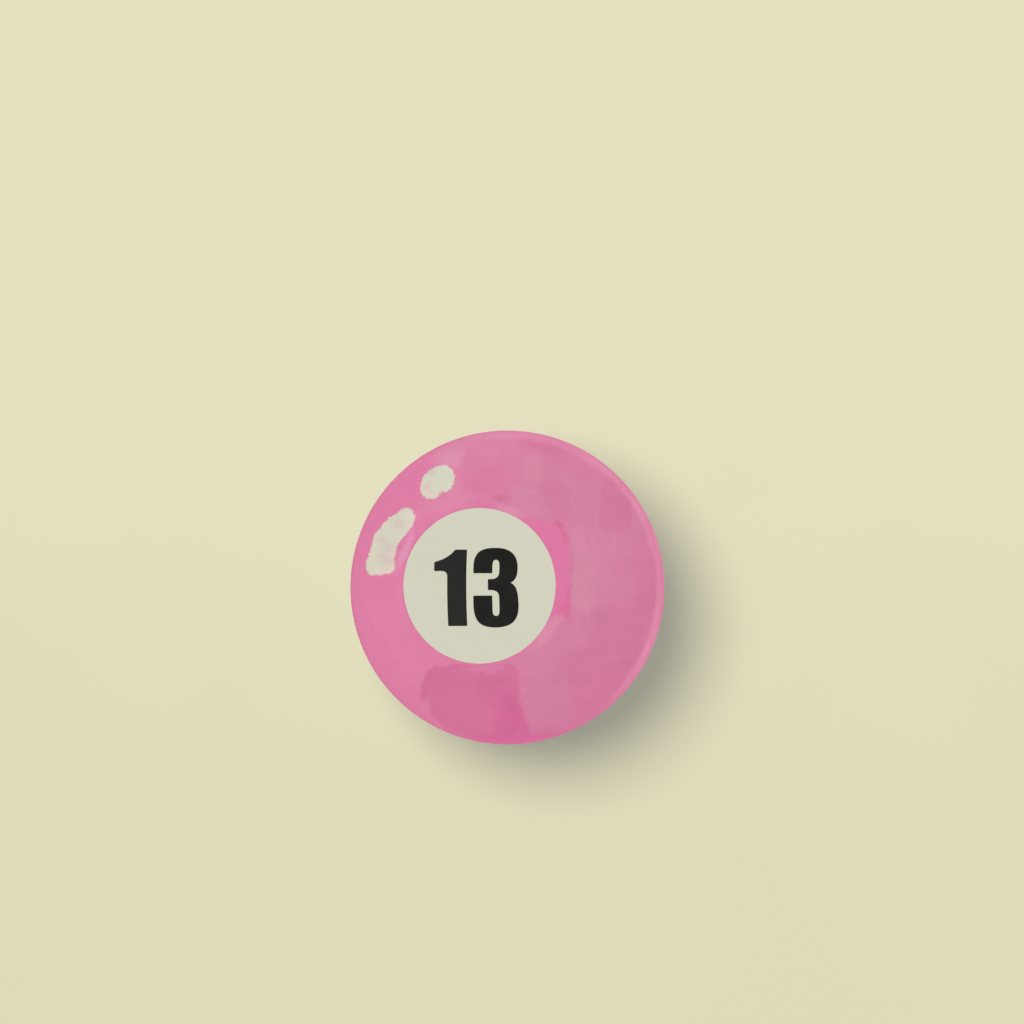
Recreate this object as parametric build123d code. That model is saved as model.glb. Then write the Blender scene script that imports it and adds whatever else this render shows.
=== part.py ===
from build123d import *
import math
import os

# Numbered pool ball, cast phenolic resin, built as the real ball is built: a solid
# coloured ball with two round pockets on opposite sides, an ivory resin disc cast into
# each pocket, and black resin numerals cast into pockets routed in each disc. Every
# joint is line to line, because each colour is poured against the one before it, and
# the finished ball is then ground and polished to one true sphere.
#
# Frame: origin at the centre of the ball, +Z up, the first number faces -Y (front) and
# the second faces +Y (rear). Both read upright. +X is to the right seen from the front.
# Millimetres.

# ---- driving dimensions ---------------------------------------------------------
BALL_DIAMETER = 57.15  # pool ball, 2 1/4 inch, +-0.127
DISC_DIAMETER = 28.0  # edge circle of the ivory number disc
DISC_DEPTH = 9.0  # from the polished pole to the floor of the disc pocket
DISC_FLOOR_RADIUS = 1.0  # corner radius of the cutter that bores the disc pocket
NUMERAL_DEPTH = 4.5  # from the polished pole to the floor of the numeral pockets
NUMERAL_HEIGHT = 14.3  # height of the figure 3, the taller of the two
NUMERAL_WIDTH = 15.5  # overall width of the two figures
NUMERAL_CORNER = 0.16  # corner rounding left by the engraving cutter
NUMERAL_SHIFT_X = -0.07  # sideways centring on the pole
NUMERAL_SHIFT_Z = -0.37  # the figures sit a little below the pole
OVERRUN = 2.0  # how far cutters run past the sphere

R = BALL_DIAMETER / 2

# ---- figures --------------------------------------------------------------------
# Heavy condensed grotesque figures, drawn on a grid 737 wide and 691 high, x to the
# right and y down. "L" is a line, "C" a cubic with two handles. Corners of the path
# are rounded by the cutter, smooth joins are left alone.
GRID_W, GRID_H = 737.0, 691.0
ONE = [
    ("M", (293, 15)),
    ("L", (293, 678)),
    ("L", (122, 678)),
    ("L", (122, 252)),
    ("C", (122, 216), (105, 200), (67, 200)),
    ("L", (0, 200)),
    ("L", (0, 121)),
    ("C", (78, 103), (145, 70), (186, 15)),
]
THREE = [
    ("M", (354, 221)),
    ("L", (518, 221)),
    ("L", (518, 160)),
    ("C", (518, 124), (525, 104), (547, 104)),
    ("C", (569, 104), (577, 124), (577, 163)),
    ("L", (577, 196)),
    ("C", (577, 250), (556, 272), (504, 272)),
    ("L", (481, 272)),
    ("L", (481, 367)),
    ("L", (504, 367)),
    ("C", (556, 367), (577, 389), (577, 441)),
    ("L", (577, 538)),
    ("C", (577, 572), (569, 591), (547, 591)),
    ("C", (525, 591), (518, 572), (518, 538)),
    ("L", (518, 415)),
    ("L", (354, 415)),
    ("L", (354, 489)),
    ("C", (354, 642), (406, 691), (537, 691)),
    ("C", (672, 691), (737, 630), (737, 499)),
    ("C", (737, 388), (724, 328), (673, 304)),
    ("C", (714, 283), (730, 244), (730, 179)),
    ("C", (730, 64), (668, 0), (540, 0)),
    ("C", (406, 0), (354, 44), (354, 168)),
]


def to_mm(p):
    """Grid point to millimetres on the disc, x right and z up, about the pole."""
    return (
        (p[0] / GRID_W - 0.5) * NUMERAL_WIDTH + NUMERAL_SHIFT_X,
        (0.5 - p[1] / GRID_H) * NUMERAL_HEIGHT + NUMERAL_SHIFT_Z,
    )


def segments(glyph):
    """The glyph as closed cubic and line segments in millimetres."""
    out, at = [], to_mm(glyph[0][1])
    start = at
    for op in glyph[1:]:
        pts = [to_mm(p) for p in op[1:]]
        out.append([at, *pts])
        at = pts[-1]
    if math.dist(at, start) > 1e-6:
        out.append([at, start])
    return out


def split(seg, t):
    """de Casteljau: the two parts of a segment at t."""
    rows = [seg]
    while len(rows[-1]) > 1:
        r = rows[-1]
        rows.append(
            [
                (a[0] + (b[0] - a[0]) * t, a[1] + (b[1] - a[1]) * t)
                for a, b in zip(r, r[1:])
            ]
        )
    return [r[0] for r in rows], [r[-1] for r in rows][::-1]


def direction(a, b):
    d = math.dist(a, b)
    return ((b[0] - a[0]) / d, (b[1] - a[1]) / d)


def rounded(segs, size):
    """The path with each sharp corner cut back by size and bridged by a round cubic."""
    n = len(segs)
    sharp = []
    for i in range(n):
        u = direction(segs[i - 1][-2], segs[i - 1][-1])
        v = direction(segs[i][0], segs[i][1])
        sharp.append(u[0] * v[0] + u[1] * v[1] < 0.985)
    out = []
    for i, seg in enumerate(segs):
        length = sum(
            math.dist(split(seg, k / 16)[0][-1], split(seg, (k + 1) / 16)[0][-1])
            for k in range(16)
        )
        if sharp[i]:
            seg = split(seg, size / length)[1]
        if sharp[(i + 1) % n]:
            keep = 1 - size / (length - (size if sharp[i] else 0))
            seg = split(seg, keep)[0]
        out.append(seg)
    path = []
    for i, seg in enumerate(out):
        if sharp[i]:
            a, b, c = out[i - 1][-1], segs[i][0], seg[0]
            k = 0.55
            path.append(
                [
                    a,
                    (a[0] + (b[0] - a[0]) * k, a[1] + (b[1] - a[1]) * k),
                    (c[0] + (b[0] - c[0]) * k, c[1] + (b[1] - c[1]) * k),
                    c,
                ]
            )
        path.append(seg)
    return path


def figure_face(glyph):
    """The figure as a flat face in the local plane of the number."""
    edges = []
    for seg in rounded(segments(glyph), NUMERAL_CORNER):
        if len(seg) == 2:
            edges.append(Line(seg[0], seg[1]))
        else:
            edges.append(Bezier(*seg))
    return Face(Wire(edges))


# ---- the front number, facing -Y --------------------------------------------------

def facing_front(depth):
    """A plane across the number axis at this depth below the pole, normal to -Y."""
    return Plane(origin=(0, -(R - depth), 0), x_dir=(1, 0, 0), z_dir=(0, -1, 0))


# the boring cutter: a round bar with a rounded nose, run in from outside the ball
floor = facing_front(DISC_DEPTH)
cutter = floor * Cylinder(
    DISC_DIAMETER / 2,
    DISC_DEPTH + OVERRUN,
    align=(Align.CENTER, Align.CENTER, Align.MIN),
)
nose = cutter.edges().sort_by(Axis.Y)[-1]
cutter = fillet(nose, DISC_FLOOR_RADIUS)

engraving = facing_front(NUMERAL_DEPTH)
figures = {
    name: extrude(
        engraving * figure_face(glyph), NUMERAL_DEPTH + OVERRUN, dir=(0, -1, 0)
    )
    for name, glyph in (("numeral_one", ONE), ("numeral_three", THREE))
}

# The inlays are ground flush with the ball, so they take the ball's own sphere. Its
# poles lie on Z here, well clear of both discs.
ball = Sphere(R)
disc = (ball & cutter) - list(figures.values())
numerals = {name: ball & tool for name, tool in figures.items()}

# ---- the rear number: the same, turned half a turn about the vertical --------------
turn = Rotation(0, 0, 180)

# ---- the coloured body: the same sphere, poles on Y, where the two pockets take them --
body = Rotation(90, 0, 0) * Sphere(R) - cutter - turn * cutter

nodes = {"ball_body": body, "front_number_disc": disc, "rear_number_disc": turn * disc}
for name, solid in numerals.items():
    nodes["front_" + name] = solid
    nodes["rear_" + name] = turn * solid

os.makedirs("parts", exist_ok=True)
for name, shape in nodes.items():
    solids = shape.solids()
    export_step(solids[0] if len(solids) == 1 else Compound(solids), f"parts/{name}.step")
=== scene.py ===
import math

import bpy
import numpy as np
from mathutils import Matrix, Vector
from mathutils.geometry import delaunay_2d_cdt


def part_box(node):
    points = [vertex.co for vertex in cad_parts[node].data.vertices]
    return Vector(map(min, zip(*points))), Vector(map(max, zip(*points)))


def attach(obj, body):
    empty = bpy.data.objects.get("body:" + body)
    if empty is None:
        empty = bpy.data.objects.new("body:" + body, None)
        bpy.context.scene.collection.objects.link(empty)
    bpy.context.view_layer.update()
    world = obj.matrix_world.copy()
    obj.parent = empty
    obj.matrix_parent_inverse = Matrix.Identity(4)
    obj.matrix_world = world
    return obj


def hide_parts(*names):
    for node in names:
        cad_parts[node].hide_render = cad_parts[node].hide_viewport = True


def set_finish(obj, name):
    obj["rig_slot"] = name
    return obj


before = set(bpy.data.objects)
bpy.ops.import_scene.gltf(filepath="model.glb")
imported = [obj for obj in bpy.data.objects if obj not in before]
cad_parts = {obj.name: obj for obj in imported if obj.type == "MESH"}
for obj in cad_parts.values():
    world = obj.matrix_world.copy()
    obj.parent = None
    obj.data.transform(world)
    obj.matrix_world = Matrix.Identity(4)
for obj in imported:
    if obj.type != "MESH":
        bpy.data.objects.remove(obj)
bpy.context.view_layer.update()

scene = bpy.context.scene
MM = 0.001

# ---- sizes ------------------------------------------------------------------------
R = 28.575  # the ball
DISC_R = 14.0  # edge of the number disc
DISC_DEPTH = 9.0  # pole to the floor of the disc's pocket
DISC_CORNER = 1.0  # round in the corner of that floor
NUMERAL_DEPTH = 4.5  # pole to the floor of the figures' pockets
SEAM_HALF = 0.035  # the polished-over seam between two colours: half its width
SEAM_DEPTH = 0.022  # and how far it dips below the sphere

disc_lo, disc_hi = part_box("front_number_disc")
assert abs((disc_hi.x - disc_lo.x) / MM - 2 * DISC_R) < 0.2, "disc and CAD disagree"
assert abs((disc_hi.y - disc_lo.y) / MM - DISC_DEPTH) < 0.2, "disc depth and CAD disagree"

# ---- the figures' outlines, on the same grid as the CAD ------------------------------
GRID_W, GRID_H = 737.0, 691.0
NUMERAL_W, NUMERAL_H = 15.5, 14.3
SHIFT_X, SHIFT_Z = -0.07, -0.37
CORNER = 0.16
ONE = [
    ("M", (293, 15)),
    ("L", (293, 678)),
    ("L", (122, 678)),
    ("L", (122, 252)),
    ("C", (122, 216), (105, 200), (67, 200)),
    ("L", (0, 200)),
    ("L", (0, 121)),
    ("C", (78, 103), (145, 70), (186, 15)),
]
THREE = [
    ("M", (354, 221)),
    ("L", (518, 221)),
    ("L", (518, 160)),
    ("C", (518, 124), (525, 104), (547, 104)),
    ("C", (569, 104), (577, 124), (577, 163)),
    ("L", (577, 196)),
    ("C", (577, 250), (556, 272), (504, 272)),
    ("L", (481, 272)),
    ("L", (481, 367)),
    ("L", (504, 367)),
    ("C", (556, 367), (577, 389), (577, 441)),
    ("L", (577, 538)),
    ("C", (577, 572), (569, 591), (547, 591)),
    ("C", (525, 591), (518, 572), (518, 538)),
    ("L", (518, 415)),
    ("L", (354, 415)),
    ("L", (354, 489)),
    ("C", (354, 642), (406, 691), (537, 691)),
    ("C", (672, 691), (737, 630), (737, 499)),
    ("C", (737, 388), (724, 328), (673, 304)),
    ("C", (714, 283), (730, 244), (730, 179)),
    ("C", (730, 64), (668, 0), (540, 0)),
    ("C", (406, 0), (354, 44), (354, 168)),
]


def to_mm(p):
    return np.array([
        (p[0] / GRID_W - 0.5) * NUMERAL_W + SHIFT_X,
        (0.5 - p[1] / GRID_H) * NUMERAL_H + SHIFT_Z,
    ])


def bezier(c, t):
    """Points of a line or cubic with control points c at the values t."""
    t = np.asarray(t, float)[:, None]
    if len(c) == 2:
        return c[0] * (1 - t) + c[1] * t
    return (c[0] * (1 - t) ** 3 + 3 * c[1] * t * (1 - t) ** 2
            + 3 * c[2] * t ** 2 * (1 - t) + c[3] * t ** 3)


def split(c, t):
    rows = [list(c)]
    while len(rows[-1]) > 1:
        r = rows[-1]
        rows.append([a + (b - a) * t for a, b in zip(r, r[1:])])
    return [r[0] for r in rows], [r[-1] for r in rows][::-1]


def outline(glyph, step=0.16):
    """The figure's closed outline, corners rounded as the cutter leaves them."""
    segs, at = [], to_mm(glyph[0][1])
    start = at
    for op in glyph[1:]:
        pts = [to_mm(p) for p in op[1:]]
        segs.append([at, *pts])
        at = pts[-1]
    if np.linalg.norm(at - start) > 1e-6:
        segs.append([at, start])
    n = len(segs)

    def unit(a, b):
        return (b - a) / np.linalg.norm(b - a)

    sharp = [float(unit(segs[i - 1][-2], segs[i - 1][-1]) @ unit(segs[i][0], segs[i][1])) < 0.985
             for i in range(n)]
    cut = []
    for i, c in enumerate(segs):
        q = bezier(c, np.linspace(0, 1, 33))
        length = np.linalg.norm(np.diff(q, axis=0), axis=1).sum()
        if sharp[i]:
            c = split(c, CORNER / length)[1]
            length -= CORNER
        if sharp[(i + 1) % n]:
            c = split(c, 1 - CORNER / length)[0]
        cut.append(c)
    out = []
    for i, c in enumerate(cut):
        if sharp[i]:
            a, b, d = cut[i - 1][-1], segs[i][0], c[0]
            k = 0.55
            out.append(bezier([a, a + (b - a) * k, d + (b - d) * k, d], np.linspace(0, 1, 7)[:-1]))
        q = bezier(c, np.linspace(0, 1, 33))
        length = np.linalg.norm(np.diff(q, axis=0), axis=1).sum()
        m = max(2, int(round(length / step)))
        out.append(bezier(c, np.linspace(0, 1, m + 1)[:-1]))
    pts = np.concatenate(out)
    area = 0.5 * np.sum(pts[:, 0] * np.roll(pts[:, 1], -1) - np.roll(pts[:, 0], -1) * pts[:, 1])
    return pts if area > 0 else pts[::-1]  # counter-clockwise, seen with x right and z up


def offset(loop, d):
    """The loop moved outwards by d, one value or one a point, if it is counter-clockwise."""
    e1 = loop - np.roll(loop, 1, axis=0)
    e2 = np.roll(loop, -1, axis=0) - loop
    n1 = np.stack([e1[:, 1], -e1[:, 0]], 1) / np.linalg.norm(e1, axis=1)[:, None]
    n2 = np.stack([e2[:, 1], -e2[:, 0]], 1) / np.linalg.norm(e2, axis=1)[:, None]
    m = n1 + n2
    m /= np.maximum((m * n1).sum(1), 0.4)[:, None]
    return loop + np.reshape(d, (-1, 1)) * m


def inside(points, loop):
    """Which points lie in the loop."""
    x, z = points[:, 0][:, None], points[:, 1][:, None]
    a, b = loop, np.roll(loop, -1, axis=0)
    cross = (a[None, :, 1] > z) != (b[None, :, 1] > z)
    with np.errstate(divide="ignore", invalid="ignore"):
        xi = a[None, :, 0] + (z - a[None, :, 1]) / (b[None, :, 1] - a[None, :, 1]) * (b[None, :, 0] - a[None, :, 0])
    return (np.sum(cross & (x < xi), axis=1) % 2) == 1


def gap_to(points, loop):
    """Distance from each point to the loop's nearest edge."""
    a, b = loop, np.roll(loop, -1, axis=0)
    d = b - a
    t = np.clip(((points[:, None, :] - a[None]) * d[None]).sum(2) / (d * d).sum(1)[None], 0, 1)
    near = a[None] + t[..., None] * d[None]
    return np.linalg.norm(points[:, None, :] - near, axis=2).min(1)


def fill(outer, holes, step):
    """Triangles over the region between an outer loop and its holes. Returns the points,
    with the loops' points first and in order, and counter-clockwise triangles."""
    loops = [outer, *holes]
    lo_, hi_ = outer.min(0), outer.max(0)
    rows = np.arange(lo_[1] + step / 2, hi_[1], step * 0.866)
    grid = np.array([(x + (step / 2 if k % 2 else 0), z)
                     for k, z in enumerate(rows) for x in np.arange(lo_[0] - step, hi_[0] + step, step)])
    keep = inside(grid, outer)
    for h in holes:
        keep &= ~inside(grid, h)
    grid = grid[keep]
    for lp in loops:
        if len(grid):
            grid = grid[gap_to(grid, lp) > step * 0.55]
    pts = np.concatenate([*loops, grid]) if len(grid) else np.concatenate(loops)
    edges, base = [], 0
    for lp in loops:
        n = len(lp)
        edges += [(base + i, base + (i + 1) % n) for i in range(n)]
        base += n
    res = delaunay_2d_cdt([Vector((float(p[0]), float(p[1]))) for p in pts], edges, [], 0, 1e-7, True)
    assert len(res[0]) == len(pts), "the outline crosses itself"
    back = {i: o[0] for i, o in enumerate(res[3])}
    tris = np.array([[back[v] for v in f] for f in res[2]])
    mid = pts[tris].mean(1)
    ok = inside(mid, outer)
    for h in holes:
        ok &= ~inside(mid, h)
    tris = tris[ok]
    a, b, c = pts[tris[:, 0]], pts[tris[:, 1]], pts[tris[:, 2]]
    flip = (b - a)[:, 0] * (c - a)[:, 1] - (b - a)[:, 1] * (c - a)[:, 0] < 0
    tris[flip] = tris[flip][:, ::-1]
    return pts, tris


class Shell:
    """Collects vertices and faces, each face with the kind of surface it lies on."""

    def __init__(self):
        self.v, self.f, self.k, self.n = [], [], [], 0

    def add(self, pts):
        pts = np.asarray(pts, float).reshape(-1, 3)
        self.v.append(pts)
        at = self.n
        self.n += len(pts)
        return np.arange(at, at + len(pts))

    def faces(self, faces, kind):
        for f in faces:
            self.f.append([int(i) for i in f])
            self.k.append(kind)

    def strip(self, a, b, kind):
        """Quads between two closed rings of the same length."""
        n = len(a)
        self.faces([(a[i], a[(i + 1) % n], b[(i + 1) % n], b[i]) for i in range(n)], kind)


def on_ball(p, drop=0.0):
    """Points (x, z) put on the front of the sphere, drop below its surface."""
    y = -np.sqrt(np.maximum((R - drop) ** 2 - p[:, 0] ** 2 - p[:, 1] ** 2, 0))
    return np.stack([p[:, 0], y, p[:, 1]], 1)


def flat(p, y):
    return np.stack([p[:, 0], np.full(len(p), y), p[:, 1]], 1)


def finish_mesh(name, shell, turned):
    """A closed mesh object in metres. Faces of kind "ball" shade as the true sphere."""
    v = np.concatenate(shell.v)
    if turned:
        v = v * np.array([-1, -1, 1])  # half a turn about Z
    me = bpy.data.meshes.new(name)
    me.from_pydata((v * MM).tolist(), [], shell.f)
    me.update()
    me.shade_smooth()
    kinds = np.array(shell.k)
    edge_kind, sharp = {}, np.zeros(len(me.edges), bool)
    for poly in me.polygons:
        for ek in poly.edge_keys:
            if ek in edge_kind and edge_kind[ek] != kinds[poly.index]:
                edge_kind[ek] = "mixed"
            elif ek not in edge_kind:
                edge_kind[ek] = kinds[poly.index]
    for i, e in enumerate(me.edges):
        sharp[i] = edge_kind.get(tuple(sorted(e.vertices))) == "mixed"
    attr = me.attributes.new("sharp_edge", "BOOLEAN", "EDGE")
    attr.data.foreach_set("value", sharp)
    loops = np.zeros(len(me.loops), int)
    me.loops.foreach_get("vertex_index", loops)
    totals = np.array([len(f) for f in shell.f])
    of_face = np.repeat(np.arange(len(totals)), totals)
    unit = v / np.linalg.norm(v, axis=1)[:, None]
    normals = np.where((kinds[of_face] == "ball")[:, None], unit[loops], 0.0)
    me.normals_split_custom_set([tuple(n) for n in normals])
    me.validate()
    ob = bpy.data.objects.new(name, me)
    scene.collection.objects.link(ob)
    return ob


def ring(r, y, n, start=0.0):
    a = np.arange(n) / n * 2 * math.pi + start
    return np.stack([r * np.cos(a), np.full(n, y), r * np.sin(a)], 1)


def pocket_profile():
    """(r, y) down the front disc pocket, from the seam to the middle of its floor."""
    y_floor = -(R - DISC_DEPTH)
    y_rim = -math.sqrt((R - SEAM_DEPTH) ** 2 - DISC_R ** 2)
    pts = [(DISC_R, y_rim)]
    for t in (0.25, 0.5, 0.75, 1.0):
        pts.append((DISC_R, y_rim + (y_floor - DISC_CORNER - y_rim) * t))
    for t in np.linspace(0, math.pi / 2, 9)[1:]:
        pts.append((DISC_R - DISC_CORNER + DISC_CORNER * math.cos(t),
                    y_floor - DISC_CORNER + DISC_CORNER * math.sin(t)))
    for r in (10.0, 7.0, 3.5):
        pts.append((r, y_floor))
    return pts, y_floor


AROUND = 256


def make_body():
    s = Shell()
    pocket, y_floor = pocket_profile()
    rim = DISC_R + SEAM_HALF
    polar = np.linspace(math.asin(rim / R), math.pi - math.asin(rim / R), 145)
    front = [s.add(ring(r, y, AROUND)) for r, y in pocket]
    hub = s.add([[0, y_floor, 0]])[0]
    ball = [s.add(ring(R * math.sin(t), -R * math.cos(t), AROUND)) for t in polar]
    rear = [s.add(ring(r, -y, AROUND)) for r, y in pocket]
    hub2 = s.add([[0, -y_floor, 0]])[0]
    n = AROUND
    s.faces([(hub, front[-1][i], front[-1][(i + 1) % n]) for i in range(n)], "floor")
    rings = [*front[::-1], *ball, *rear]
    kinds = ["pocket"] * (len(front) - 1) + ["seam"] + ["ball"] * (len(ball) - 1) + ["seam"] + ["pocket"] * (len(rear) - 1)
    for a, b, kind in zip(rings[:-1], rings[1:], kinds):
        s.strip(b, a, kind)
    s.faces([(hub2, rear[-1][(i + 1) % n], rear[-1][i]) for i in range(n)], "floor")
    return finish_mesh("body_shell", s, False)


def make_disc(name, figures, turned):
    s = Shell()
    pocket, y_floor = pocket_profile()
    a = np.arange(AROUND) / AROUND * 2 * math.pi
    edge = np.stack([np.cos(a), np.sin(a)], 1) * (DISC_R - SEAM_HALF)
    holes = [offset(g, SEAM_HALF) for g in figures]
    pts, tris = fill(edge, holes, 0.42)
    top = s.add(on_ball(pts))
    s.faces(top[tris], "ball")  # counter-clockwise seen from the front faces -Y
    walls = [s.add(ring(r, y, AROUND)) for r, y in pocket]
    n = AROUND
    s.strip(walls[0], top[:n], "seam")
    for p, q in zip(walls[:-1], walls[1:]):
        s.strip(q, p, "pocket")
    hub = s.add([[0, y_floor, 0]])[0]
    s.faces([(hub, walls[-1][(i + 1) % n], walls[-1][i]) for i in range(n)][::1], "floor")
    at = n
    for g in figures:
        m = len(g)
        lip = top[at:at + m]
        low = s.add(on_ball(g, SEAM_DEPTH))
        base = -(R - NUMERAL_DEPTH)
        fp, ft = fill(g, [], 0.6)
        fl = s.add(flat(fp, base))
        s.strip(lip, low, "seam")
        s.strip(low, fl[:m], "pocket")
        s.faces(fl[ft], "floor")
        at += m
    return finish_mesh(name, s, turned)


def make_figure(name, g, turned):
    s = Shell()
    m = len(g)
    pts, tris = fill(offset(g, -SEAM_HALF), [], 0.36)
    top = s.add(on_ball(pts))
    s.faces(top[tris], "ball")
    low = s.add(on_ball(g, SEAM_DEPTH))
    fp, ft = fill(g, [], 0.6)
    fl = s.add(flat(fp, -(R - NUMERAL_DEPTH)))
    s.strip(low, top[:m], "seam")
    s.strip(fl[:m], low, "pocket")
    s.faces(fl[ft][:, ::-1], "floor")
    return finish_mesh(name, s, turned)


one, three = outline(ONE), outline(THREE)
body = make_body()
pieces = {"ball_body": body}
for side, turned in (("front", False), ("rear", True)):
    pieces[side + "_number_disc"] = make_disc(side + "_disc_shell", [one, three], turned)
    pieces[side + "_numeral_one"] = make_figure(side + "_figure_one", one, turned)
    pieces[side + "_numeral_three"] = make_figure(side + "_figure_three", three, turned)

# every shell is closed, and every face looks outwards
import bmesh
for node, ob in pieces.items():
    bm = bmesh.new()
    bm.from_mesh(ob.data)
    loose = [e for e in bm.edges if not e.is_manifold or not e.is_contiguous]
    vol = bm.calc_volume(signed=True) / MM ** 3
    bm.free()
    assert not loose, f"{node}: {len(loose)} open edges"
    assert vol > 0, f"{node} is inside out"
    print("piece", node, len(ob.data.polygons), "faces", round(vol, 1), "mm3")

SLOTS = {"ball_body": "pink_resin", "disc": "ivory_resin", "numeral": "black_resin"}
for node, ob in pieces.items():
    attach(ob, "root")
    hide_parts(node)
    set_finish(ob, next(s for k, s in SLOTS.items() if k in node))

# ---- the camera: the photograph's viewing angle ------------------------------------
FRAME_PX = 1024
CENTRE_PX = (507.4, 587.5)  # where the ball's centre falls in the picture
RADIUS_PX = 157.0
LENS, SENSOR = 400.0, 36.0
AZIMUTH, ELEVATION = math.radians(11.67), math.radians(-0.72)

focal_px = FRAME_PX * LENS / SENSOR
distance = R / math.sin(math.atan(RADIUS_PX / focal_px))
toward = Vector((math.sin(AZIMUTH) * math.cos(ELEVATION),
                 -math.cos(AZIMUTH) * math.cos(ELEVATION), math.sin(ELEVATION)))
right = Vector((math.cos(AZIMUTH), math.sin(AZIMUTH), 0))
up = toward.cross(right)

cam = bpy.data.objects.new("photo_camera", bpy.data.cameras.new("photo_camera"))
scene.collection.objects.link(cam)
scene.camera = cam
cam.data.lens, cam.data.sensor_width = LENS, SENSOR
cam.data.clip_start, cam.data.clip_end = 0.01, 20
per_px = distance / focal_px
aim = (right * (FRAME_PX / 2 - CENTRE_PX[0]) + up * (CENTRE_PX[1] - FRAME_PX / 2)) * per_px
cam.location = toward * distance * MM
cam.rotation_mode = "QUATERNION"
cam.rotation_quaternion = (aim - toward * distance).to_track_quat("-Z", "Y")
bpy.context.view_layer.update()
cam_turn = cam.rotation_quaternion.to_matrix()


# ---- node helpers -------------------------------------------------------------------
def srgb(r, g, b, gain=1.0):
    """A linear colour from 0 to 255 display values."""
    out = []
    for c in (r, g, b):
        c /= 255
        out.append((c / 12.92 if c <= 0.04045 else ((c + 0.055) / 1.055) ** 2.4) * gain)
    return (*out, 1.0)


class Tree:
    """Short names for the shader nodes used here. Each call returns an output socket."""

    def __init__(self, material):
        material.use_nodes = True
        self.t = material.node_tree
        self.t.nodes.clear()

    def node(self, kind, **props):
        n = self.t.nodes.new(kind)
        for k, v in props.items():
            setattr(n, k, v)
        return n

    def put(self, socket, value):
        if isinstance(value, bpy.types.NodeSocket):
            self.t.links.new(value, socket)
        elif value is not None:
            socket.default_value = value

    def math(self, op, a, b=None, c=None, clamp=False):
        n = self.node("ShaderNodeMath", operation=op, use_clamp=clamp)
        for i, v in enumerate((a, b, c)):
            if v is not None:
                self.put(n.inputs[i], v)
        return n.outputs[0]

    def vec(self, op, a, b=None, scale=None):
        n = self.node("ShaderNodeVectorMath", operation=op)
        self.put(n.inputs[0], a)
        if b is not None:
            self.put(n.inputs[1], b)
        if scale is not None:
            self.put(n.inputs["Scale"], scale)
        return n.outputs["Value"] if op in ("DOT_PRODUCT", "LENGTH") else n.outputs[0]

    def xyz(self, x, y, z):
        n = self.node("ShaderNodeCombineXYZ")
        for i, v in enumerate((x, y, z)):
            self.put(n.inputs[i], v)
        return n.outputs[0]

    def noise(self, at, scale, detail=2.0, rough=0.5, distort=0.0, colour=False):
        n = self.node("ShaderNodeTexNoise")
        self.put(n.inputs["Vector"], at)
        self.put(n.inputs["Scale"], scale)
        self.put(n.inputs["Detail"], detail)
        self.put(n.inputs["Roughness"], rough)
        self.put(n.inputs["Distortion"], distort)
        return n.outputs["Color" if colour else "Fac"]

    def ramp(self, v, a, b, lo_=0.0, hi_=1.0):
        """Smooth step of v from a to b, onto lo_ to hi_."""
        n = self.node("ShaderNodeMapRange", interpolation_type="SMOOTHSTEP")
        for i, x in enumerate((v, a, b, lo_, hi_)):
            self.put(n.inputs[i], x)
        return n.outputs[0]

    def mix(self, f, a, b, blend="MIX"):
        n = self.node("ShaderNodeMix", data_type="RGBA", blend_type=blend, clamp_factor=True)
        self.put(n.inputs[0], f)
        self.put(n.inputs[6], a)
        self.put(n.inputs[7], b)
        return n.outputs[2]

    def here(self):
        """Place in the object, in ball radii."""
        n = self.node("ShaderNodeTexCoord")
        return self.vec("SCALE", n.outputs["Object"], scale=1 / (R * MM))


def resin(name, make_colour, rough=(0.045, 0.080), ior=1.55):
    """Polished cast resin: one glossy lobe over pigment, hairline polishing marks in its
    roughness and a barely visible flow in the surface."""
    m = bpy.data.materials.new(name)
    t = Tree(m)
    p = t.here()
    bsdf = t.node("ShaderNodeBsdfPrincipled")
    out = t.node("ShaderNodeOutputMaterial")
    t.t.links.new(bsdf.outputs[0], out.inputs[0])
    t.put(bsdf.inputs["Base Color"], make_colour(t, p))
    t.put(bsdf.inputs["IOR"], ior)
    cloud = t.noise(p, 5.0, 3.0, 0.6)
    fine = t.noise(p, 90.0, 3.0, 0.65)
    stretch = t.node("ShaderNodeMapping")
    t.put(stretch.inputs["Vector"], p)
    t.put(stretch.inputs["Rotation"], (0.7, 0.35, 0.9))
    t.put(stretch.inputs["Scale"], (4.0, 260.0, 4.0))
    hair = t.ramp(t.noise(stretch.outputs[0], 1.0, 2.0, 0.5), 0.66, 0.74)
    mixed = t.math("ADD", t.math("MULTIPLY", cloud, 0.6), t.math("MULTIPLY", fine, 0.4))
    base = t.ramp(mixed, 0.3, 0.7, rough[0], rough[1])
    t.put(bsdf.inputs["Roughness"], t.math("ADD", base, t.math("MULTIPLY", hair, 0.035)))
    bump = t.node("ShaderNodeBump")
    t.put(bump.inputs["Strength"], 0.02)
    t.put(bump.inputs["Distance"], 0.00002)
    t.put(bump.inputs["Height"], t.math("SUBTRACT", t.noise(p, 26.0, 2.0, 0.5), t.math("MULTIPLY", hair, 0.4)))
    t.t.links.new(bump.outputs[0], bsdf.inputs["Normal"])
    return m


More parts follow.
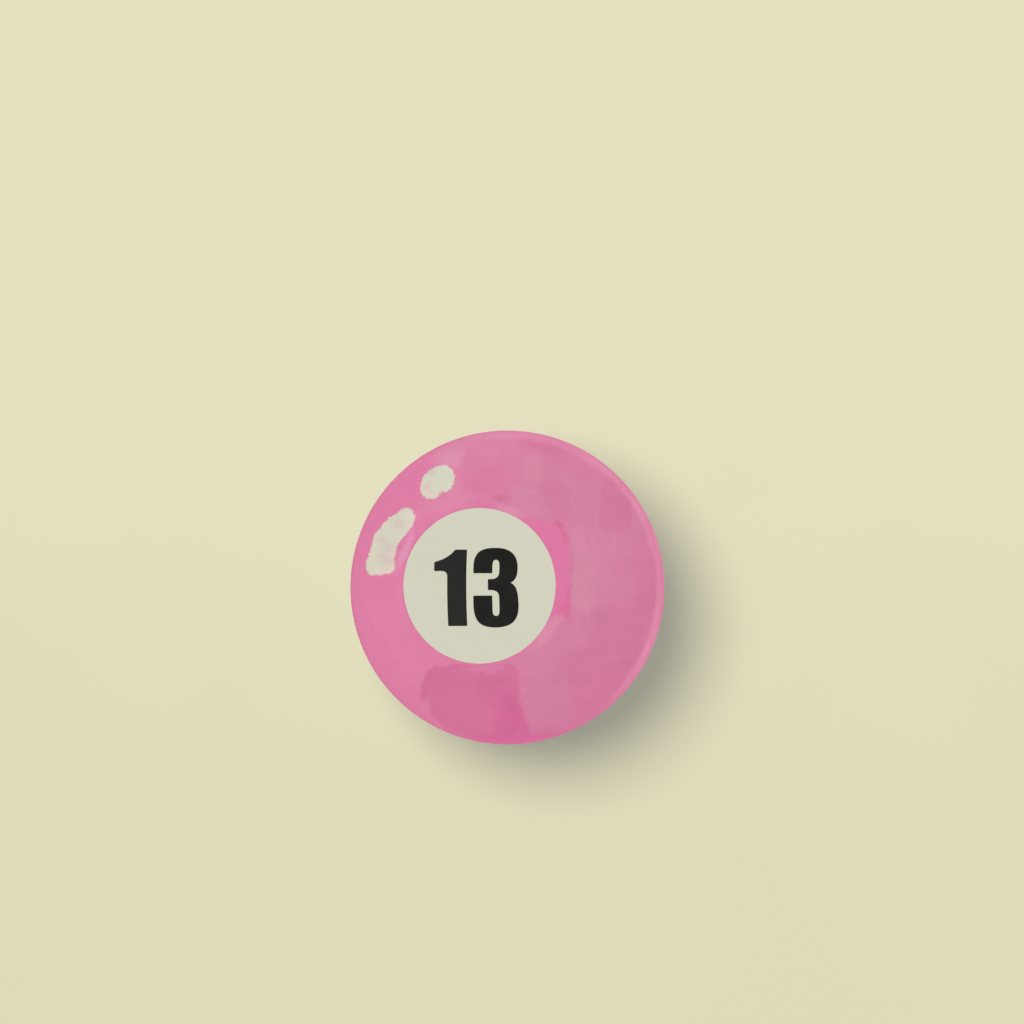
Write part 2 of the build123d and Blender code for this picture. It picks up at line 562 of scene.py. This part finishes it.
# ---- pink resin: pigment clouds in the pour, two of them painted highlight tone -------
# Each cloud lies on the front of the ball and is described as the camera sees it, in
# pixels of the picture: its middle, its outline, how soft its edge is (a share of its
# size), its strength and its colour. The rear of the ball carries the same pour, turned
# half a turn about Z. An outline is two half-widths and a turn (an oval),
# or the sides of a patch with rounded corners: each side's direction in degrees,
# counter-clockwise from the right, and its distance from the middle.
OVAL, PATCH = "oval", "patch"
PINK = (223.5, 126.5, 166)
DULL = (213.5, 129.5, 161.5)
CLOUDS = [
    # broad washes: left, low left, top, right, low right
    (OVAL, 374, 642, (50, 66, 0), 0.60, 0.85, (223.5, 130, 166.5)),
    (OVAL, 428, 690, (46, 40, 30), 0.55, 0.85, (222.5, 129.5, 165)),
    (OVAL, 392, 545, (16, 60, -20), 0.60, 0.50, (225, 121.5, 165)),
    (OVAL, 455, 455, (22, 13, 28), 0.55, 0.95, (222.5, 145, 174.5)),
    (OVAL, 496, 437, (48, 8, 0), 0.50, 0.95, (225, 144, 176)),
    (OVAL, 448, 501, (34, 8, 20), 0.60, 0.80, (224, 138, 170)),
    (PATCH, 489, 466, ((0, 36), (90, 26), (180, 26.5), (225, 32), (270, 27), (140, 31)), 6, 0.16, 0.92, (217, 130, 164)),
    (OVAL, 488, 446, (28, 8, 0), 0.55, 0.85, (220, 135, 168.5)),
    (OVAL, 453, 487, (10, 9, 30), 0.50, 0.85, (223, 142, 172)),
    (OVAL, 487, 481, (24, 12, 0), 0.45, 0.85, (218.5, 124, 161)),
    (OVAL, 533, 470, (10, 22, -6), 0.60, 0.85, (216.5, 136.5, 166)),
    (OVAL, 518, 488, (18, 4, -14), 0.55, 0.75, (219, 136.5, 167)),
    (OVAL, 503, 498, (12, 3.0, -8), 0.45, 0.75, (211, 116, 154)),
    (OVAL, 527, 503, (19, 10, -22), 0.45, 0.85, (215.5, 135.5, 165)),
    (OVAL, 556, 497, (10.5, 22, 14), 0.38, 0.90, (211.5, 125, 159)),
    (OVAL, 572, 466, (38, 8, -27), 0.50, 0.80, (213, 126, 160.5)),
    (OVAL, 546, 446, (28, 5.5, -15), 0.80, 0.80, (211.5, 118.5, 156)),
    (OVAL, 590, 503, (13, 24, -12), 0.50, 0.70, (214, 130.5, 163)),
    (PATCH, 617, 506, ((0, 15), (180, 17), (270, 29), (60, 22), (120, 28)), 5, 0.20, 0.85, (210.5, 121, 156)),
    (OVAL, 600, 549, (28, 19, 0), 0.50, 0.75, (214, 134, 164.5)),
    (OVAL, 636, 562, (18, 32, -8), 0.50, 0.80, (211, 126, 158.5)),
    (OVAL, 626, 545, (5, 24, -4), 0.60, 0.50, (213.5, 132, 162)),
    (OVAL, 584, 588, (12, 30, 0), 0.45, 0.90, (214, 140, 166.5)),
    (OVAL, 579, 545, (7, 26, 0), 0.50, 0.80, (214, 136.5, 166)),
    (OVAL, 610, 590, (26, 20, 0), 0.50, 0.60, (213, 132.5, 162.5)),
    (PATCH, 612, 632, ((0, 32), (180, 30), (90, 22), (270, 26), (315, 30)), 4, 0.28, 0.85, (210.5, 123, 158)),
    (OVAL, 575, 632, (24, 14, 20), 0.50, 0.80, (213.5, 129, 161.5)),
    (OVAL, 600, 690, (26, 18, 40), 0.50, 0.80, (212, 122.5, 156.5)),
    (OVAL, 405, 550, (4.0, 21, -24), 0.60, 0.95, (225.5, 148, 180)),
    # painted highlight tone: the pink under the two highlights is a little less red, so the reflections there come out
    # cream
    (OVAL, 438, 481, (13.5, 12.5, 30), 0.45, 0.95, (216, 128, 165)),
    (OVAL, 391, 541, (31, 11, 62), 0.45, 0.95, (216, 125, 164.5)),
    # the strong band to the right of the disc, and its darker ends
    (PATCH, 535, 567, ((0, 35.5), (32.7, 43.2), (72.9, 47.6), (270, 49.5), (180, 60)), 10, 0.030, 0.98, (222.5, 120.5, 163)),
    (OVAL, 560, 524.5, (6, 2.2, -16), 0.50, 0.80, (214, 107, 150)),
    (OVAL, 564, 535, (2.4, 9.5, 24), 0.50, 0.85, (213, 108, 151)),
    (OVAL, 565, 612, (7, 4.5, 0), 0.50, 0.70, (216, 107, 153)),
    (OVAL, 568.5, 600, (2.0, 14, 0), 0.50, 0.60, (216, 110, 154)),
    (OVAL, 571.5, 572, (1.3, 26, 0), 0.60, 0.55, (204, 126, 153)),
    # light strokes under the disc, then the patches at the bottom
    (OVAL, 546, 633, (21, 6.0, 50), 0.50, 0.85, (220.5, 141, 170)),
    (OVAL, 512, 511.5, (17, 4.5, -17), 0.45, 0.95, (222, 141, 172)),
    (OVAL, 527, 514, (7, 3.5, -25), 0.55, 0.70, (221, 131, 167)),
    (OVAL, 649, 634, (4.5, 24, -18), 0.60, 0.80, (214, 128.5, 161)),
    (PATCH, 548, 701, ((0, 28), (90, 26), (180, 27.5), (270, 27), (45, 34)), 6, 0.14, 0.90, (211.5, 127.5, 160)),
    (OVAL, 536, 742, (42, 6.5, 9), 0.50, 0.90, (213, 103.5, 150.5)),
    (PATCH, 470, 705, ((0, 49.5), (90, 41), (130, 51.9), (180, 50.5), (220, 35.6)), 10, 0.028, 0.98, (212.5, 116, 154)),
    (OVAL, 495, 689, (20, 14, -8), 0.45, 0.85, (211.5, 110.5, 152)),
    (PATCH, 508, 722, ((0, 8), (180, 14), (90, 26), (150, 22)), 5, 0.45, 0.90, (211, 106, 150)),
    (OVAL, 519.5, 722, (18, 7.0, -62), 0.22, 0.90, (211, 105.5, 150)),
    (OVAL, 440, 684, (14, 12, 0), 0.55, 0.60, (211, 113, 152)),
    (OVAL, 424.5, 690, (3.5, 17, -12), 0.55, 0.65, (208.5, 109, 150)),
    (OVAL, 432, 671, (9, 3.0, 40), 0.55, 0.60, (208.5, 110, 150.5)),
    (OVAL, 487, 668.5, (17, 4.2, 4), 0.45, 0.85, (219.5, 126, 163.5)),
    (OVAL, 452, 668, (10, 2.5, 10), 0.50, 0.60, (208, 112, 151)),
    (OVAL, 425, 705, (6, 5, 0), 0.55, 0.70, (221, 137, 168)),
    (OVAL, 500, 741, (46, 5.5, 0), 0.55, 0.80, (218, 103, 154)),
    (OVAL, 512, 716, (9, 22, 0), 0.60, 0.50, (209, 102, 147.5)),
]


def pink_colour(t, p):
    slow = t.vec("SUBTRACT", t.noise(p, 2.3, 2.0, colour=True), (0.5, 0.5, 0.5))
    mid = t.vec("SUBTRACT", t.noise(p, 10.0, 3.0, 0.6, colour=True), (0.5, 0.5, 0.5))
    fine = t.vec("SUBTRACT", t.noise(p, 34.0, 4.0, 0.75, colour=True), (0.5, 0.5, 0.5))
    q = t.vec("ADD", p, t.vec("SCALE", slow, scale=0.016))
    q = t.vec("ADD", q, t.vec("SCALE", mid, scale=0.042))
    q = t.vec("ADD", q, t.vec("SCALE", fine, scale=0.080))

    def picture(at):
        """Where a place on the ball is in the picture, from its centre, in ball radii."""
        far_ = t.math("SUBTRACT", distance / R, t.vec("DOT_PRODUCT", at, tuple(toward)))
        k = t.math("DIVIDE", distance / R, far_)
        return (t.math("MULTIPLY", t.vec("DOT_PRODUCT", at, tuple(right)), k),
                t.math("MULTIPLY", t.vec("DOT_PRODUCT", at, tuple(up)), k))

    facing = t.vec("DOT_PRODUCT", q, tuple(toward))
    side = t.math("MULTIPLY_ADD", t.math("GREATER_THAN", facing, 0.0), 2.0, -1.0)
    u, v = picture(t.vec("MULTIPLY", q, t.xyz(side, side, 1.0)))
    here = t.xyz(u, v, 0.0)

    def gauge(spec):
        """1 on the cloud's outline, less inside it."""
        kind, x, y, form = spec[:4]
        c = ((x - CENTRE_PX[0]) / RADIUS_PX, (CENTRE_PX[1] - y) / RADIUS_PX, 0.0)
        off = t.vec("SUBTRACT", here, c)
        if kind == OVAL:
            ra, rb, turn = form[0] / RADIUS_PX, form[1] / RADIUS_PX, math.radians(form[2])
            x = t.vec("DOT_PRODUCT", off, (math.cos(turn) / ra, math.sin(turn) / ra, 0))
            y = t.vec("DOT_PRODUCT", off, (-math.sin(turn) / rb, math.cos(turn) / rb, 0))
            return t.vec("LENGTH", t.xyz(x, y, 0.0))
        power, total = spec[4], None
        for angle, r in form:
            n = (math.cos(math.radians(angle)) * RADIUS_PX / r, math.sin(math.radians(angle)) * RADIUS_PX / r, 0)
            edge = t.math("POWER", t.math("MAXIMUM", t.vec("DOT_PRODUCT", off, n), 0.0), power)
            total = edge if total is None else t.math("ADD", total, edge)
        return t.math("POWER", total, 1 / power)

    def cloud(spec, colour):
        soft, strength, shade = spec[-3:]
        f = t.ramp(gauge(spec), 1 + soft, 1 - soft)
        return t.mix(t.math("MULTIPLY", f, strength), colour, srgb(*shade))

    # the pour is duller towards the right, and darker again low on the right; that low-right darkening is painted
    # shade, away from the light at the upper left
    near = t.mix(t.ramp(u, -0.42, 0.05), srgb(*PINK), srgb(*DULL))
    low = t.math("SUBTRACT", t.math("MULTIPLY", u, 0.8), t.math("MULTIPLY", v, 0.6))
    near = t.mix(t.ramp(low, 0.38, 0.72), near, srgb(210, 122, 156.5))
    # stronger pigment drawn in against the discs, thick and thin
    parts = t.node("ShaderNodeSeparateXYZ")
    t.put(parts.inputs[0], q)
    from_axis = t.vec("LENGTH", t.xyz(parts.outputs[0], parts.outputs[2], 0.0))
    slip = t.noise(t.vec("ADD", p, (0.7, 4.4, 2.9)), 2.1, 1.0, 0.5)
    width = t.ramp(slip, 0.36, 0.66, 0.499, 0.522)
    halo = t.math("MULTIPLY", t.ramp(from_axis, width, 0.492), t.ramp(slip, 0.36, 0.54, 0.25, 0.75))
    near = t.mix(halo, near, srgb(225, 117.5, 163))
    for spec in CLOUDS:
        near = cloud(spec, near)

    # round the flanks the two pours run into one another in slow clouds, with a few
    # patches that close up as they come round to either side
    n1 = t.noise(t.vec("ADD", q, (3.1, 0.4, 1.7)), 1.25, 2.0, 0.5)
    n2 = t.noise(t.vec("ADD", q, (7.3, 2.2, 5.1)), 1.5, 1.0, 0.5)
    n3 = t.noise(t.vec("ADD", q, (1.9, 8.8, 3.3)), 2.6, 2.0, 0.5)
    round_ = t.math("ABSOLUTE", facing)
    n2 = t.math("SUBTRACT", n2, t.ramp(round_, 0.05, 0.32, 0.0, 0.30))
    flank = t.mix(t.ramp(n1, 0.40, 0.60, 0.0, 0.9), srgb(*PINK), srgb(*DULL))
    flank = t.mix(t.ramp(n3, 0.56, 0.66, 0.0, 0.75), flank, srgb(220, 137, 168))
    flank = t.mix(t.ramp(n2, 0.550, 0.582, 0.0, 0.80), flank, srgb(211, 118, 155))
    col = t.mix(t.ramp(round_, 0.02, 0.28), flank, near)

    # strokes and grain of the pigment
    tall = t.node("ShaderNodeMapping")
    t.put(tall.inputs["Vector"], q)
    t.put(tall.inputs["Rotation"], (0.0, 0.04, 0.0))
    t.put(tall.inputs["Scale"], (26.0, 26.0, 2.6))
    tall = t.ramp(t.noise(tall.outputs[0], 1.0, 2.0, 0.5), 0.25, 0.75, 0.985, 1.015)
    wide = t.node("ShaderNodeMapping")
    t.put(wide.inputs["Vector"], q)
    t.put(wide.inputs["Rotation"], (0.0, -0.12, 0.0))
    t.put(wide.inputs["Scale"], (2.4, 2.4, 20.0))
    wide = t.ramp(t.noise(wide.outputs[0], 1.0, 3.0, 0.5), 0.25, 0.75, 0.986, 1.014)
    mottle = t.ramp(t.noise(p, 7.0, 4.0, 0.6), 0.25, 0.75, 0.980, 1.020)
    grain = t.ramp(t.noise(p, 40.0, 4.0, 0.65), 0.25, 0.75, 0.987, 1.013)
    return t.vec("SCALE", col, scale=t.math("MULTIPLY", t.math("MULTIPLY", tall, wide), t.math("MULTIPLY", mottle, grain)))


def ivory_colour(t, p):
    wash = t.ramp(t.noise(p, 2.4, 3.0, 0.55), 0.3, 0.7)
    col = t.mix(wash, srgb(211, 209.5, 189.5), srgb(212.5, 211.5, 192))
    speck = t.ramp(t.noise(p, 60.0, 2.0, 0.6), 0.68, 0.80, 0.0, 0.35)
    col = t.mix(speck, col, srgb(204, 201, 180))
    return t.vec("SCALE", col, scale=t.ramp(t.noise(p, 18.0, 4.0, 0.6), 0.25, 0.75, 0.992, 1.008))


def black_colour(t, p):
    soft = t.noise(p, 7.0, 4.0, 0.6)
    parts = t.node("ShaderNodeSeparateXYZ")
    t.put(parts.inputs[0], p)
    ones = t.math("MULTIPLY", parts.outputs[0], parts.outputs[1])  # front and rear alike
    col = t.mix(t.ramp(soft, 0.3, 0.7), srgb(31, 30, 29), srgb(37, 36, 34))
    return t.mix(t.ramp(ones, 0.02, 0.10, 0.0, 0.6), col, srgb(47, 46, 44))


mats = {"pink_resin": resin("pink_resin", pink_colour),
        "ivory_resin": resin("ivory_resin", ivory_colour),
        "black_resin": resin("black_resin", black_colour)}
for ob in pieces.values():
    ob.data.materials.clear()
    ob.data.materials.append(mats[ob["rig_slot"]])


# ---- the stage: it turns with the camera, so the ball is lit alike from every side ------
rig = bpy.data.objects.new("stage_rig", None)
scene.collection.objects.link(rig)
turn_with = rig.constraints.new("COPY_ROTATION")
turn_with.target = cam


def on_stage(ob, sees=(), casts=False):
    """Part of the stage, seen only by these kinds of ray."""
    if ob.name not in scene.collection.objects:
        scene.collection.objects.link(ob)
    ob.parent = rig
    ob.visible_camera = "camera" in sees
    ob.visible_diffuse = "diffuse" in sees
    ob.visible_glossy = "glossy" in sees
    ob.visible_transmission = False
    ob.visible_volume_scatter = False
    ob.visible_shadow = casts
    return ob


def group(name, obs):
    c = bpy.data.collections.new(name)
    for o in obs:
        c.objects.link(o)
    return c


all_resin = group("lit_ball", pieces.values())
pink_only = group("lit_pink", [body])
inlays = group("lit_inlays", [o for n, o in pieces.items() if n != "ball_body"])


def glow(name, colour_of, through=False):
    m = bpy.data.materials.new(name)
    t = Tree(m)
    em = t.node("ShaderNodeEmission")
    out = t.node("ShaderNodeOutputMaterial")
    t.put(em.inputs["Color"], colour_of(t))
    if through:
        add, clear = t.node("ShaderNodeAddShader"), t.node("ShaderNodeBsdfTransparent")
        t.t.links.new(em.outputs[0], add.inputs[0])
        t.t.links.new(clear.outputs[0], add.inputs[1])
        t.t.links.new(add.outputs[0], out.inputs[0])
    else:
        t.t.links.new(em.outputs[0], out.inputs[0])
    return m


def dome(name, radius, colour_of, sees, receivers, through=False):
    """A sphere of light round the stage."""
    bm = bmesh.new()
    bmesh.ops.create_icosphere(bm, subdivisions=5, radius=radius)
    bmesh.ops.reverse_faces(bm, faces=bm.faces)
    me = bpy.data.meshes.new(name)
    bm.to_mesh(me)
    bm.free()
    me.materials.append(glow(name, colour_of, through))
    me.materials[0].cycles.emission_sampling = "NONE"
    ob = on_stage(bpy.data.objects.new(name, me), sees)
    ob.light_linking.receiver_collection = receivers
    return ob


def way(t):
    """The direction from the middle of the stage, x right, y up, z to the camera."""
    n = t.node("ShaderNodeTexCoord")
    d = t.vec("NORMALIZE", n.outputs["Object"])
    parts = t.node("ShaderNodeSeparateXYZ")
    t.put(parts.inputs[0], d)
    return parts.outputs


def sky(t):
    """Soft fill over the ball, a little stronger from the upper left. It lights what the
    camera sees of the ball, and no second bounce, so no pink falls on the floor."""
    x, y, z = way(t)
    side = t.math("ADD", t.math("MULTIPLY", x, -0.62), t.math("ADD", t.math("MULTIPLY", y, 0.55), t.math("MULTIPLY", z, 0.56)))
    level = t.math("MULTIPLY_ADD", side, FILL_TILT, FILL)
    first = t.math("LESS_THAN", t.node("ShaderNodeLightPath").outputs["Diffuse Depth"], 1.5)
    return t.vec("SCALE", (1.0, 1.0, 1.0), scale=t.math("MULTIPLY", level, first))


ROOM = (0.06, 0.06, 0.055, 1)  # a dim room in front of the ball


def pink_surroundings(t):
    """What the pink mirrors: its own glow off the floor at its edge, and to the right a
    brighter rim with a broken inner line."""
    x, y, z = way(t)
    own = t.mix(t.ramp(y, -0.6, 0.6), srgb(213, 115, 155), srgb(219, 130, 165))
    own = t.vec("SCALE", own, scale=t.ramp(z, -0.50, -1.0, 0.58, 0.92))
    own = t.mix(t.ramp(z, 0.20, -0.35), ROOM, own)
    at = t.node("ShaderNodeTexCoord").outputs["Object"]
    broken = t.math("SUBTRACT", t.noise(at, 14.0, 3.0, 0.65), 0.5)
    depth = t.math("MULTIPLY_ADD", broken, 0.30, z)
    flat = t.math("SQRT", t.math("SUBTRACT", 1.0002, t.math("MULTIPLY", z, z)))
    along, up = t.math("DIVIDE", x, flat), t.math("DIVIDE", y, flat)
    rim = t.ramp(depth, -0.715, -0.835)
    uneven = t.noise(t.vec("ADD", at, (0.3, 1.1, 0.7)), 9.0, 2.0, 0.6)
    rim = t.math("MULTIPLY", rim, t.ramp(uneven, 0.32, 0.62, 0.62, 1.08))
    rim = t.math("MULTIPLY", rim, t.ramp(along, -0.35, 0.45, 0.05, 1.0))
    rim = t.math("MULTIPLY", rim, t.ramp(up, -0.87, -0.50))
    rim = t.math("MULTIPLY", rim, t.ramp(up, -0.35, -0.02, 1.0, 0.82))
    light = t.mix(t.ramp(depth, -0.855, -0.955), (0.97, 0.42, 0.57, 1), (0.76, 0.25, 0.40, 1))
    return t.mix(rim, own, light)


def inlay_surroundings(t):
    """What the discs and figures mirror at their edge: the pale floor."""
    x, y, z = way(t)
    return t.mix(t.ramp(z, 0.25, -0.35), ROOM, srgb(211, 209, 188))


FILL, FILL_TILT = 1.036, 0.015
dome("fill_dome", 0.80, sky, ("diffuse",), all_resin)
dome("pink_mirror_dome", 0.85, pink_surroundings, ("glossy",), pink_only, through=True)
dome("inlay_mirror_dome", 0.90, inlay_surroundings, ("glossy",), inlays)

# the floor: a pale sheet behind the ball, touching it
GROUND = (227, 223.5, 190.5)
SHADE = (0.433, 0.450, 0.515)  # how much of the floor's brightness the ball's shadow leaves
bm = bmesh.new()
bmesh.ops.create_grid(bm, x_segments=24, y_segments=24, size=0.6)
for v in bm.verts:
    v.co.z = -R * MM
me = bpy.data.meshes.new("pale_floor")
bm.to_mesh(me)
bm.free()
floor_mat = bpy.data.materials.new("pale_floor")
t = Tree(floor_mat)
on_floor = t.node("ShaderNodeTexCoord").outputs["Object"]
wash = t.ramp(t.noise(on_floor, 16.0, 3.0, 0.5), 0.3, 0.7)
sheet = t.mix(wash, srgb(*[c - 0.8 for c in GROUND]), srgb(*[c + 0.8 for c in GROUND]))
parts = t.node("ShaderNodeSeparateXYZ")
t.put(parts.inputs[0], on_floor)
# painted shade: the sheet's colour, and with it its glow, is a little darker towards the bottom, away from the light at
# the upper left
sheet = t.vec("SCALE", sheet, scale=t.ramp(parts.outputs[1], -0.05, 0.05, 0.965, 1.008))
bsdf = t.node("ShaderNodeBsdfPrincipled")
t.put(bsdf.inputs["Base Color"], sheet)
t.put(bsdf.inputs["Roughness"], 0.9)
t.put(bsdf.inputs["Specular IOR Level"], 0.0)
t.put(bsdf.inputs["Emission Color"], t.vec("MULTIPLY", sheet, SHADE))
t.put(bsdf.inputs["Emission Strength"], 1.0)
t.t.links.new(bsdf.outputs[0], t.node("ShaderNodeOutputMaterial").inputs[0])
floor_mat.cycles.emission_sampling = "NONE"
me.materials.append(floor_mat)
backdrop = on_stage(bpy.data.objects.new("pale_floor", me), ("camera",))
floor_only = group("lit_floor", [backdrop])

# the lamp that throws the ball's soft shadow on the floor, down and to the right
LAMP_WAY = Vector((-0.252, 0.198, 1.0))
sun = bpy.data.lights.new("shadow_lamp", "SUN")
sun.angle = math.radians(27)
sun.color = tuple((1 - k) / (1 - SHADE[1]) for k in SHADE)
sun.energy = math.pi * (1 - SHADE[1]) * LAMP_WAY.length
lamp = bpy.data.objects.new("shadow_lamp", sun)
scene.collection.objects.link(lamp)
lamp.parent = rig
lamp.rotation_mode = "QUATERNION"
lamp.rotation_quaternion = (-LAMP_WAY).to_track_quat("-Z", "Y")
lamp.light_linking.receiver_collection = floor_only

# ---- the two window highlights ----------------------------------------------------------
# Outlines in the picture, in pixels. Each point is followed from the camera to the ball
# and on along its reflection, which says where the glowing card must be.
SPOT = [(435.7, 467.0), (441.1, 465.7), (445.1, 465.2), (449.1, 467.0), (452.7, 471.0), (454.6, 475.9),
        (454.0, 480.4), (453.1, 484.4), (450.9, 487.9), (447.8, 491.1), (445.5, 492.0), (443.3, 491.2),
        (440.6, 492.9), (437.9, 496.0), (434.4, 498.7), (430.4, 498.2), (426.3, 498.2), (423.2, 495.5),
        (421.0, 492.0), (420.3, 487.5), (421.4, 483.9), (421.9, 480.4), (424.1, 475.4), (428.6, 471.4),
        (432.6, 468.3)]
BAR = [(403.6, 508.5), (407.1, 507.6), (410.7, 508.9), (413.6, 512.5), (414.9, 517.4), (413.8, 521.4),
       (412.5, 526.3), (409.4, 529.5), (407.1, 533.0), (403.6, 537.1), (400.4, 540.6), (397.8, 544.6),
       (396.4, 549.1), (395.5, 553.6), (394.2, 557.1), (394.0, 561.6), (394.9, 566.1), (393.8, 569.6),
       (391.1, 573.2), (387.5, 573.7), (383.9, 574.1), (380.4, 575.4), (376.8, 574.6), (372.3, 575.7),
       (369.6, 574.6), (367.0, 571.0), (365.8, 566.1), (366.5, 560.7), (368.3, 557.1), (369.6, 551.8),
       (371.4, 546.4), (373.2, 539.3), (375.4, 533.0), (379.5, 529.5), (382.1, 525.0), (386.2, 521.4),
       (388.4, 518.3), (392.9, 515.6), (396.4, 513.8), (400.0, 510.3)]
STAINS = [(398.7, 523.7, 5.5), (382.1, 540.2, 4.1), (389.7, 546.9, 5.5), (383.0, 556.2, 4.6), (388.8, 561.2, 5.4),
          (427.7, 487.1, 4.5), (433.0, 472.3, 3.6)]


def card_shape(points, wobble, seed):
    """The outline made smooth, with a ragged edge."""
    p = np.array(points, float)
    n = len(p)
    out = []
    for i in range(n):
        a, b, c, d = p[i - 1], p[i], p[(i + 1) % n], p[(i + 2) % n]
        steps = max(3, int(np.linalg.norm(c - b) / 0.7))
        for t_ in np.arange(steps) / steps:
            out.append(0.5 * (2 * b + (c - a) * t_ + (2 * a - 5 * b + 4 * c - d) * t_ ** 2
                              + (3 * b - a - 3 * c + d) * t_ ** 3))
    out = np.array(out)
    area = 0.5 * np.sum(out[:, 0] * np.roll(out[:, 1], -1) - np.roll(out[:, 0], -1) * out[:, 1])
    if area < 0:
        out = out[::-1]
    # waves along the edge, from 2.5 to 9 pixels long
    rng = np.random.default_rng(seed)
    along = np.concatenate([[0], np.cumsum(np.linalg.norm(np.diff(np.vstack([out, out[:1]]), axis=0), axis=1))])
    total, along = along[-1], along[:-1]
    rough = np.zeros(len(out))
    for k in range(max(3, int(total / 9)), int(total / 2.5)):
        rough += rng.normal() * np.sin(2 * math.pi * (along * k / total + rng.random()))
    return offset(out, rough / rough.std() * wobble)


IOR = 1.55


def mirrored(px, py, reach):
    """Where a ray through the picture at (px, py) ends after the ball mirrors it, and
    the share of light the ball mirrors there."""
    ray = cam_turn @ Vector(((px - FRAME_PX / 2) / focal_px, -(py - FRAME_PX / 2) / focal_px, -1))
    ray.normalize()
    eye = toward * distance
    b = eye.dot(ray)
    hit = eye + ray * (-b - math.sqrt(b * b - eye.length_squared + R * R))
    n = hit.normalized()
    out = ray - n * 2 * ray.dot(n)
    b = hit.dot(out)
    end = hit + out * (-b + math.sqrt(b * b - hit.length_squared + reach * reach))
    c = -ray.dot(n)
    g = math.sqrt(IOR ** 2 - 1 + c * c)
    share = 0.5 * ((g - c) / (g + c)) ** 2 * (1 + ((c * (g + c) - 1) / (c * (g - c) + 1)) ** 2)
    return cam_turn.transposed() @ end * MM, share


def card(name, points, reach, added, receivers, seed, through):
    """A glowing card whose mirror image in the ball adds this much light everywhere in
    the outline: it glows more where the ball mirrors less. A card that isn't see-through
    also hides the surroundings behind it."""
    pts, tris = fill(card_shape(points, 0.42, seed), [], 1.6)
    ends = [mirrored(x, y, reach) for x, y in pts]
    me = bpy.data.meshes.new(name)
    me.from_pydata([tuple(e) for e, _ in ends], [], tris.tolist())
    me.update()
    gain = me.attributes.new("gain", "FLOAT", "POINT")
    gain.data.foreach_set("value", [1 / share for _, share in ends])

    stain = me.attributes.new("stain", "FLOAT", "POINT")
    stain.data.foreach_set("value", [sum(math.exp(-((x - a) ** 2 + (y - b) ** 2) / (r * r)) for a, b, r in STAINS)
                                     for x, y in pts])

    def tint(t):
        at = t.node("ShaderNodeTexCoord").outputs["Object"]
        blot = t.node("ShaderNodeAttribute", attribute_name="stain").outputs["Fac"]
        blot = t.math("ADD", blot, t.ramp(t.noise(at, 40.0, 3.0, 0.6), 0.3, 0.8, -0.25, 0.40))
        blot = t.math("MULTIPLY_ADD", t.math("SUBTRACT", t.noise(at, 110.0, 2.0, 0.6), 0.5), 1.1, blot)
        weak = tuple(c * k for c, k in zip(added, (1.0, 0.76, 0.82)))
        glow_ = t.mix(blot, (*added, 1), (*weak, 1))
        return t.vec("SCALE", glow_, scale=t.node("ShaderNodeAttribute", attribute_name="gain").outputs["Fac"])

    me.materials.append(glow(name, tint, through))
    ob = on_stage(bpy.data.objects.new(name, me), ("glossy",))
    ob.light_linking.receiver_collection = receivers
    return ob


# The pink is already as bright in red as the highlights are, so on the pink they add
# green and blue and come out cream. On the ivory and the black they are plain white.
ON_PINK = (0.0, 0.460, 0.166)
ON_INLAY = (0.25, 0.25, 0.235)
for label, points, seed in (("spot", SPOT, 11), ("bar", BAR, 12)):
    card(label + "_card_inlay", points, 450, ON_INLAY, inlays, seed, through=True)
    card(label + "_card_pink", points, 480, ON_PINK, pink_only, seed, through=False)

world = bpy.data.worlds.new("dark")
scene.world = world
world.use_nodes = True
world.node_tree.nodes["Background"].inputs[0].default_value = (0, 0, 0, 1)
scene.view_settings.view_transform = "Standard"
scene.view_settings.look = "None"
